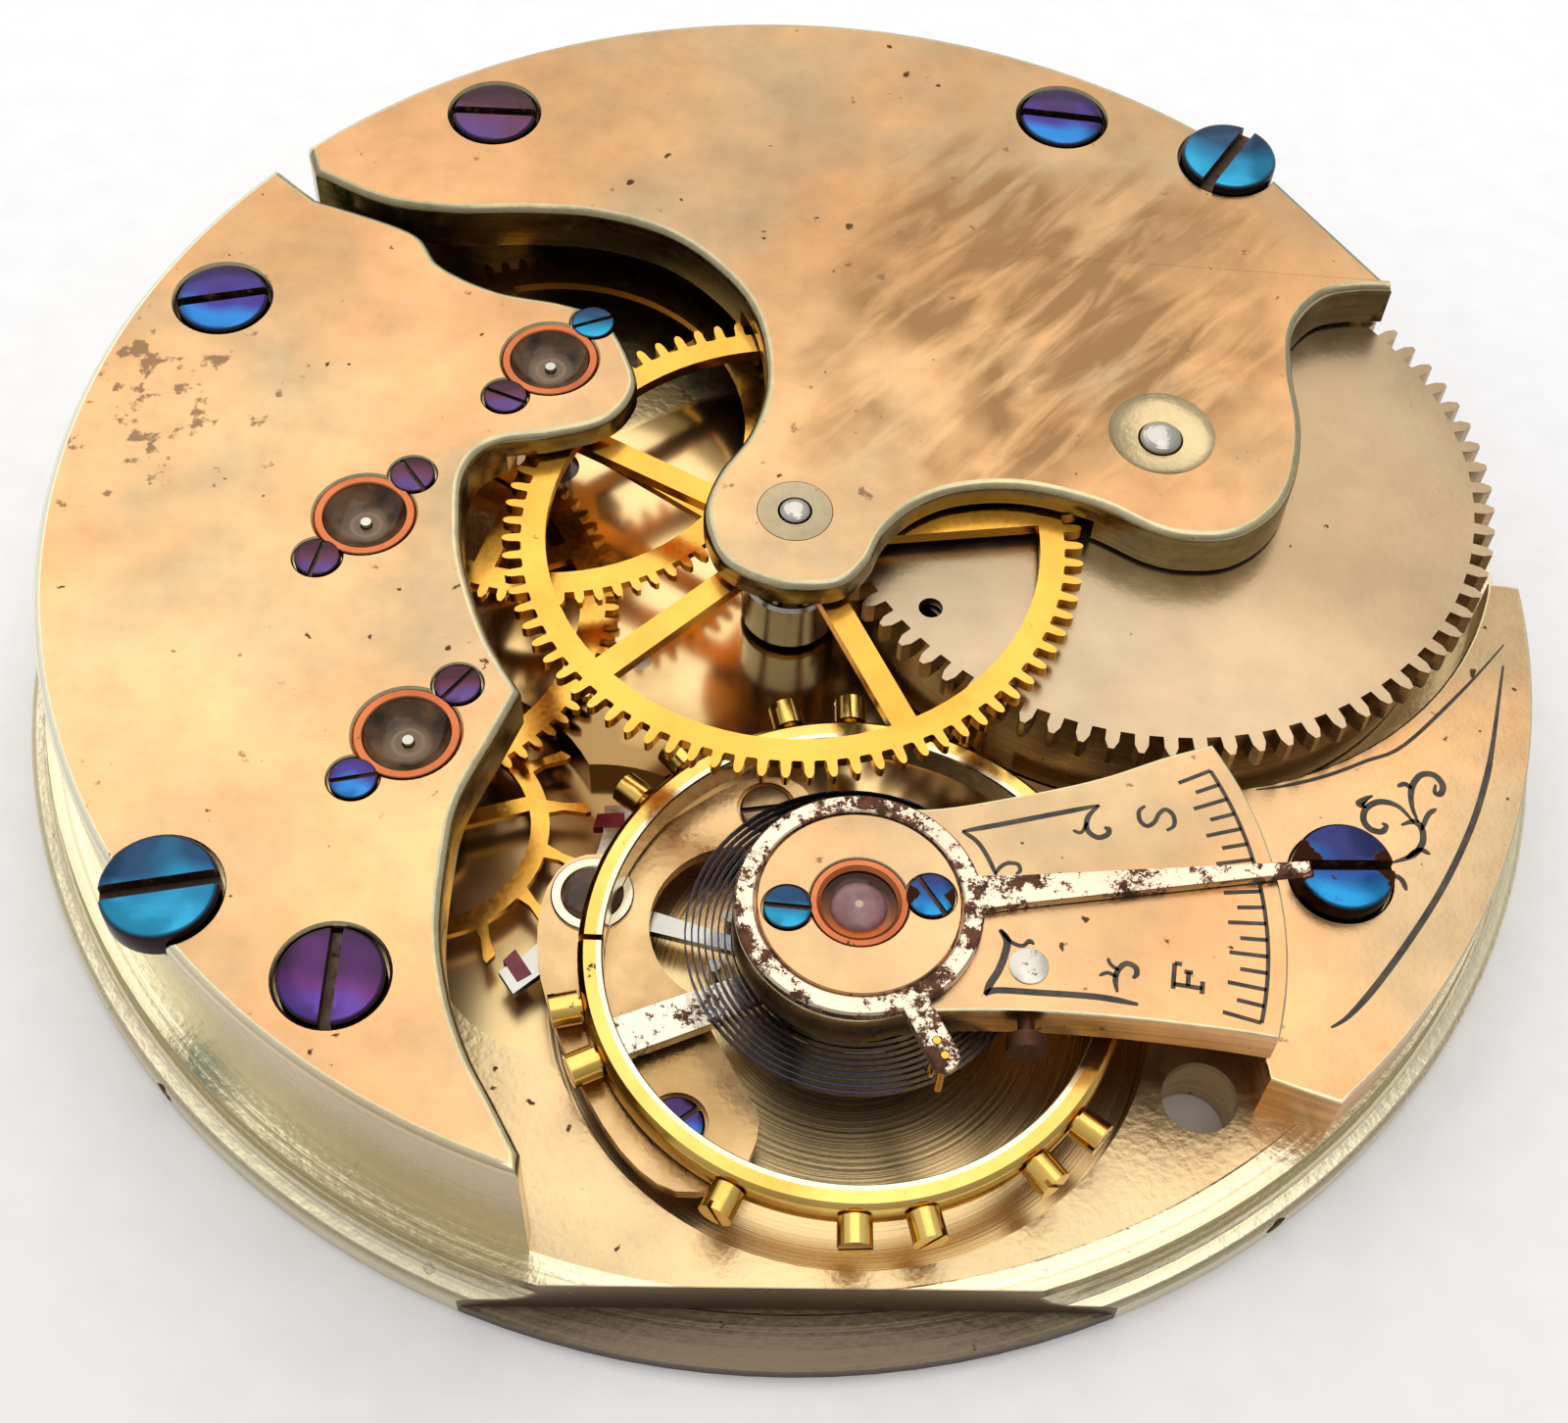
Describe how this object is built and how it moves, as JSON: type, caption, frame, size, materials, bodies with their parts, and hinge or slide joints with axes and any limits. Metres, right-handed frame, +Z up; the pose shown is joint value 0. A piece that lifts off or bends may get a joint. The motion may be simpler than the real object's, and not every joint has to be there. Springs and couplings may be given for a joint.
{
  "type": "pocket watch movement",
  "caption": "Round pocket watch movement with a pillar plate, separate barrel and train bridges, a raised balance cock, going train, lever escapement and cut balance.",
  "frame": {"origin": "centre of the dial seat on the pillar plate's underside", "axes": "+Z up through the bridges; the winding stem enters from +Y and the fourth wheel lies towards -X"},
  "size_m": [0.0364, 0.0364, 0.0058],
  "materials": {
    "plate_nickel": "frosted nickel plate",
    "bridge_nickel": "damascened nickel plate",
    "blued_steel": "blued",
    "steel": "polished",
    "rusty_steel": "rusted",
    "spring_steel": "tempered",
    "copper_gilt": "red gilt",
    "ruby": "polished",
    "brass": "gilt"
  },
  "bodies": {
    "movement": {"pillar_plate": "plate_nickel", "barrel_bridge": "bridge_nickel", "train_bridge": "bridge_nickel", "balance_cock": "bridge_nickel", "pallet_bridge": "plate_nickel", "bridge_screws": "blued_steel", "case_screws": "blued_steel", "cock_screw": "blued_steel", "pallet_bridge_screws": "blued_steel", "dial_foot_screws": "steel", "train_jewel_settings": "copper_gilt", "train_jewels": "ruby", "setting_screws": "blued_steel", "centre_bush": "steel", "plate_jewels": "ruby", "pallet_jewel": "ruby", "balance_hole_jewels": "ruby", "cap_setting": "copper_gilt", "cap_jewels": "ruby", "cap_screws": "blued_steel", "hairspring_stud": "steel", "stud_screw": "rusty_steel", "banking_pins": "steel", "hairspring": "spring_steel", "click_spring": "steel", "click_stud": "steel", "minute_stud": "steel", "crown_core": "steel"},
    "regulator": {"regulator": "steel", "curb_pins": "brass"},
    "barrel": {"barrel": "brass", "barrel_cover": "steel", "mainspring": "spring_steel"},
    "barrel_arbor": {"barrel_arbor": "steel", "ratchet_wheel": "steel"},
    "centre_wheel": {"centre_wheel": "brass", "centre_pinion": "steel"},
    "third_wheel": {"third_wheel": "brass", "third_pinion": "steel"},
    "fourth_wheel": {"fourth_wheel": "brass", "fourth_pinion": "steel"},
    "escape_wheel": {"escape_wheel": "brass", "escape_pinion": "steel"},
    "pallet_fork": {"pallet_fork": "steel", "pallet_stones": "ruby", "pallet_staff": "steel"},
    "balance": {"balance_wheel": "steel", "balance_rim": "brass", "balance_screws": "brass", "balance_staff": "steel", "roller_table": "steel", "roller_jewel": "ruby", "hairspring_collet": "brass"},
    "cannon_pinion": {"cannon_pinion": "steel"},
    "minute_wheel": {"minute_wheel": "brass"},
    "hour_wheel": {"hour_wheel": "brass"},
    "crown_wheel": {"crown_wheel": "steel"},
    "winding_pinion": {"winding_pinion": "steel"},
    "click": {"click": "steel"}
  },
  "joints": [
    {"name": "barrel_spin", "type": "hinge", "parent": "movement", "child": "barrel", "pos_m": [0.00855, 0.00309, 0.0025], "axis": [0, 0, 1], "continuous": true},
    {"name": "winding", "type": "hinge", "parent": "movement", "child": "barrel_arbor", "pos_m": [0.00855, 0.00309, 0.0003], "axis": [0, 0, 1], "continuous": true, "deforming": ["mainspring"]},
    {"name": "centre_spin", "type": "hinge", "parent": "movement", "child": "centre_wheel", "pos_m": [0, 0, 0.0046], "axis": [0, 0, 1], "continuous": true},
    {"name": "third_spin", "type": "hinge", "parent": "movement", "child": "third_wheel", "pos_m": [-0.0061, 0.00419, 0.0032], "axis": [0, 0, 1], "continuous": true},
    {"name": "fourth_spin", "type": "hinge", "parent": "movement", "child": "fourth_wheel", "pos_m": [-0.00974, -0.00091, 0.002], "axis": [0, 0, 1], "continuous": true},
    {"name": "escape_spin", "type": "hinge", "parent": "movement", "child": "escape_wheel", "pos_m": [-0.00792, -0.00673, 0.0016], "axis": [0, 0, 1], "continuous": true},
    {"name": "pallet_rock", "type": "hinge", "parent": "movement", "child": "pallet_fork", "pos_m": [-0.0039, -0.00846, 0.0016], "axis": [0, 0, 1], "range_deg": [-5, 5]},
    {"name": "balance_swing", "type": "hinge", "parent": "movement", "child": "balance", "pos_m": [0.00187, -0.0098, 0.0026], "axis": [0, 0, 1], "range_deg": [-360, 180], "deforming": ["hairspring"]},
    {"name": "regulator_turn", "type": "hinge", "parent": "movement", "child": "regulator", "pos_m": [0.00187, -0.0098, 0.0049], "axis": [0, 0, 1], "range_deg": [-17, 17]},
    {"name": "cannon_spin", "type": "hinge", "parent": "movement", "child": "cannon_pinion", "pos_m": [0, 0, 0.0004], "axis": [0, 0, 1], "continuous": true},
    {"name": "minute_spin", "type": "hinge", "parent": "movement", "child": "minute_wheel", "pos_m": [-0.00348, -0.00162, 0.0004], "axis": [0, 0, 1], "continuous": true},
    {"name": "hour_spin", "type": "hinge", "parent": "movement", "child": "hour_wheel", "pos_m": [0, 0, 0.0002], "axis": [0, 0, 1], "continuous": true},
    {"name": "crown_wheel_spin", "type": "hinge", "parent": "movement", "child": "crown_wheel", "pos_m": [0, 0.0097, 0.0003], "axis": [0, 0, 1], "continuous": true},
    {"name": "winding_pinion_spin", "type": "hinge", "parent": "movement", "child": "winding_pinion", "pos_m": [0, 0.0122, 0.00205], "axis": [0, 1, 0], "continuous": true},
    {"name": "click_lift", "type": "hinge", "parent": "movement", "child": "click", "pos_m": [0.01026, -0.0033, 0.0003], "axis": [0, 0, 1], "range_deg": [0, 12], "deforming": ["click_spring"]}
  ],
  "couplings": [
    {"joint": "third_spin", "follows": "fourth_spin", "ratio": -0.13333},
    {"joint": "centre_spin", "follows": "fourth_spin", "ratio": 0.016667},
    {"joint": "barrel_spin", "follows": "fourth_spin", "ratio": -0.002193},
    {"joint": "escape_spin", "follows": "fourth_spin", "ratio": -10},
    {"joint": "cannon_spin", "follows": "fourth_spin", "ratio": 0.016667},
    {"joint": "minute_spin", "follows": "fourth_spin", "ratio": -0.0055556},
    {"joint": "hour_spin", "follows": "fourth_spin", "ratio": 0.0013889},
    {"joint": "crown_wheel_spin", "follows": "winding", "ratio": -0.96},
    {"joint": "winding_pinion_spin", "follows": "winding", "ratio": -2.304}
  ]
}
